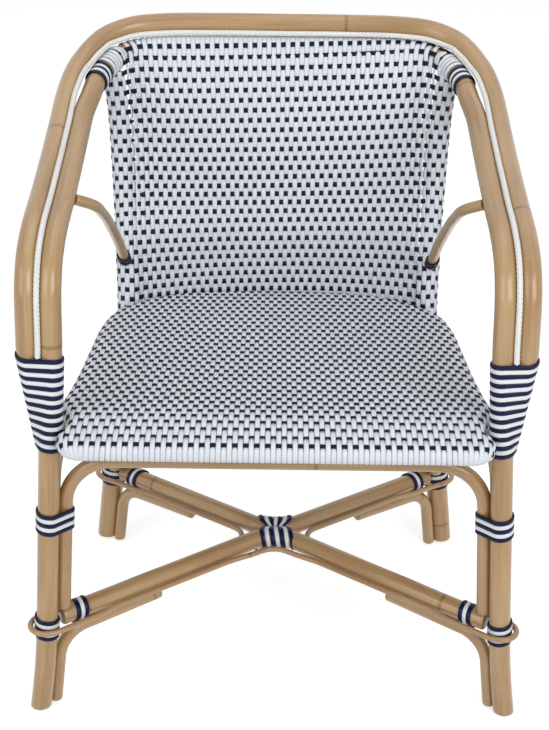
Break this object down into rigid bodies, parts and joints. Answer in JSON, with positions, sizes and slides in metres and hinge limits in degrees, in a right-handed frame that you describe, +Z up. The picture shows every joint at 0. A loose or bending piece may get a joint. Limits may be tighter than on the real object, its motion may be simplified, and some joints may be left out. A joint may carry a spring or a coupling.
{
  "type": "rattan bistro chair",
  "caption": "Low-backed bistro armchair of bent rattan poles with a striped woven seat and back, crossed stretchers and wound bindings.",
  "frame": {"origin": "middle of the chair's footprint on the floor", "axes": "+Z up, -Y towards the front, the way the sitter faces, +X towards the viewer's right when looking at the front"},
  "size_m": [0.6366, 0.5984, 0.7923],
  "materials": {
    "rattan": "varnished natural rattan, semi gloss, with fine lengthwise grain",
    "woven_strand": "navy and white glossy strand in a checked weave",
    "binding_navy": "glossy dark navy strand",
    "binding_white": "glossy white strand",
    "piping_white": "white cord with a fine twist",
    "glide": "matt dark brown"
  },
  "bodies": {
    "root": {"inner_hoop": "rattan", "outer_hoop": "rattan", "piping": "piping_white", "rear_leg_right": "rattan", "rear_leg_left": "rattan", "back_bottom_rail": "rattan", "back_weave": "woven_strand", "seat_frame": "rattan", "seat_weave": "woven_strand", "front_stretcher": "rattan", "rear_stretcher": "rattan", "front_arch": "rattan", "rear_arch": "rattan", "cane_loop": "rattan", "centre_binding_navy": "binding_navy", "centre_binding_white": "binding_white", "foot_brace_front_right": "rattan", "foot_brace_rear_right": "rattan", "side_arch_right": "rattan", "arm_brace_right": "rattan", "arm_wrap_navy_right": "binding_navy", "arm_wrap_white_right": "binding_white", "mid_binding_front_navy_right": "binding_navy", "mid_binding_front_white_right": "binding_white", "joint_binding_front_navy_right": "binding_navy", "joint_binding_front_white_right": "binding_white", "joint_binding_rear_navy_right": "binding_navy", "joint_binding_rear_white_right": "binding_white", "end_binding_front_navy_right": "binding_navy", "end_binding_front_white_right": "binding_white", "end_binding_rear_navy_right": "binding_navy", "end_binding_rear_white_right": "binding_white", "corner_binding_navy_right": "binding_navy", "corner_binding_white_right": "binding_white", "mid_binding_rear_navy_right": "binding_navy", "brace_binding_navy_right": "binding_navy", "glide_front_right": "glide", "glide_rear_right": "glide", "foot_brace_front_left": "rattan", "foot_brace_rear_left": "rattan", "side_arch_left": "rattan", "arm_brace_left": "rattan", "arm_wrap_navy_left": "binding_navy", "arm_wrap_white_left": "binding_white", "mid_binding_front_navy_left": "binding_navy", "mid_binding_front_white_left": "binding_white", "joint_binding_front_navy_left": "binding_navy", "joint_binding_front_white_left": "binding_white", "joint_binding_rear_navy_left": "binding_navy", "joint_binding_rear_white_left": "binding_white", "end_binding_front_navy_left": "binding_navy", "end_binding_front_white_left": "binding_white", "end_binding_rear_navy_left": "binding_navy", "end_binding_rear_white_left": "binding_white", "corner_binding_navy_left": "binding_navy", "corner_binding_white_left": "binding_white", "mid_binding_rear_navy_left": "binding_navy", "brace_binding_navy_left": "binding_navy", "glide_front_left": "glide", "glide_rear_left": "glide"}
  },
  "joints": []
}
